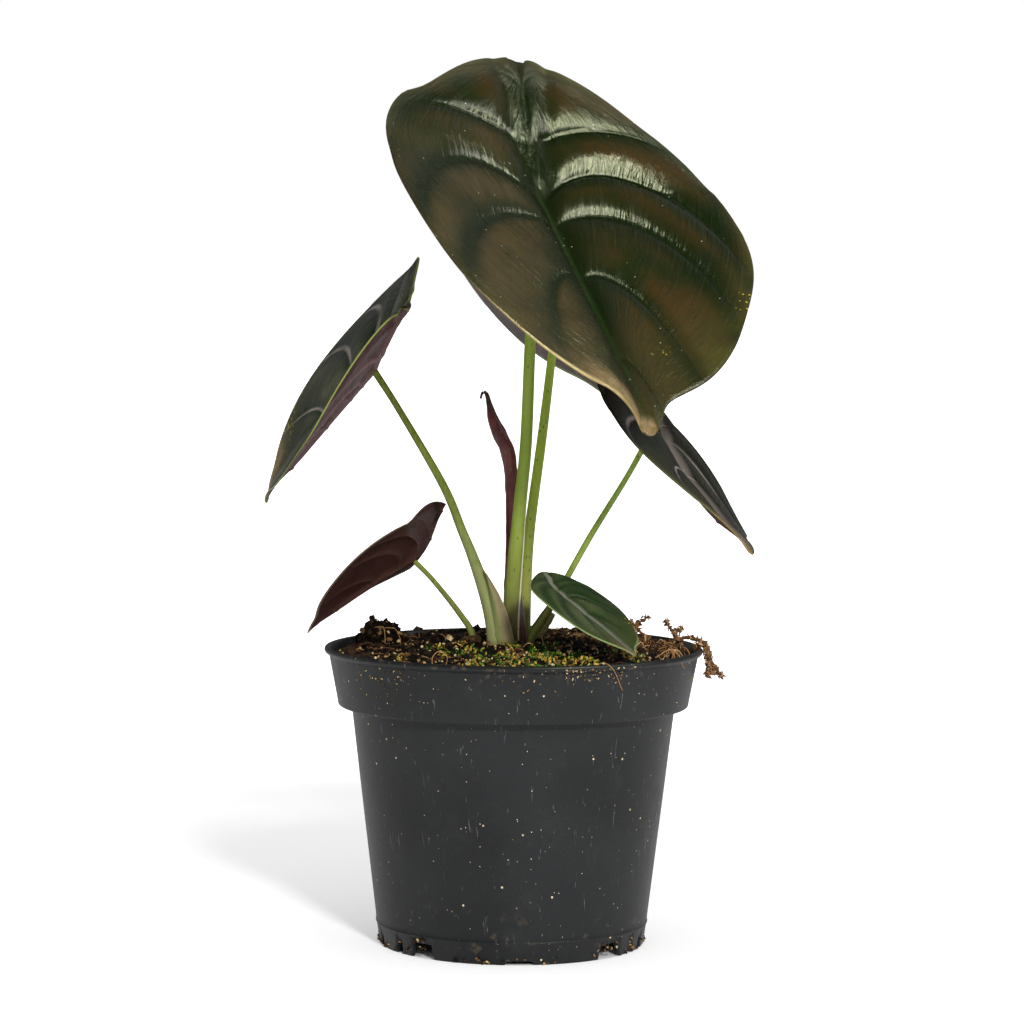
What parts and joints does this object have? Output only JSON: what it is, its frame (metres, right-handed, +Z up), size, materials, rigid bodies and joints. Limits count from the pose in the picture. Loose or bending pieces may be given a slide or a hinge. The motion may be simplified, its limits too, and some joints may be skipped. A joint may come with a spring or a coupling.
{
  "type": "potted red secret alocasia",
  "caption": "Potted alocasia with quilted, shield-shaped copper and green leaves on slender stalks, in a tapered black nursery pot filled with peat.",
  "frame": {"origin": "centre of the pot's underside, on the surface that the pot stands on", "axes": "+Z up, the side that the large front leaf faces is -Y, +X to the viewer's right"},
  "size_m": [0.1636, 0.2143, 0.2803],
  "materials": {
    "black_plastic": "satin, slightly dusty",
    "peat": "matt, crumbly",
    "leaf_blade": "glossy, quilted",
    "leaf_stalk": "satin",
    "rolled_leaf": "satin, papery",
    "dry_root": "matt"
  },
  "bodies": {
    "root": {"pot": "black_plastic", "soil": "peat", "blade_front": "leaf_blade", "stalk_front": "leaf_stalk", "blade_rear": "leaf_blade", "stalk_rear": "leaf_stalk", "blade_left": "leaf_blade", "stalk_left": "leaf_stalk", "blade_right": "leaf_blade", "stalk_right": "leaf_stalk", "blade_low_left": "leaf_blade", "stalk_low_left": "leaf_stalk", "blade_small": "leaf_blade", "stalk_small": "leaf_stalk", "rolled_leaf": "rolled_leaf", "hanging_root": "dry_root"}
  },
  "joints": []
}
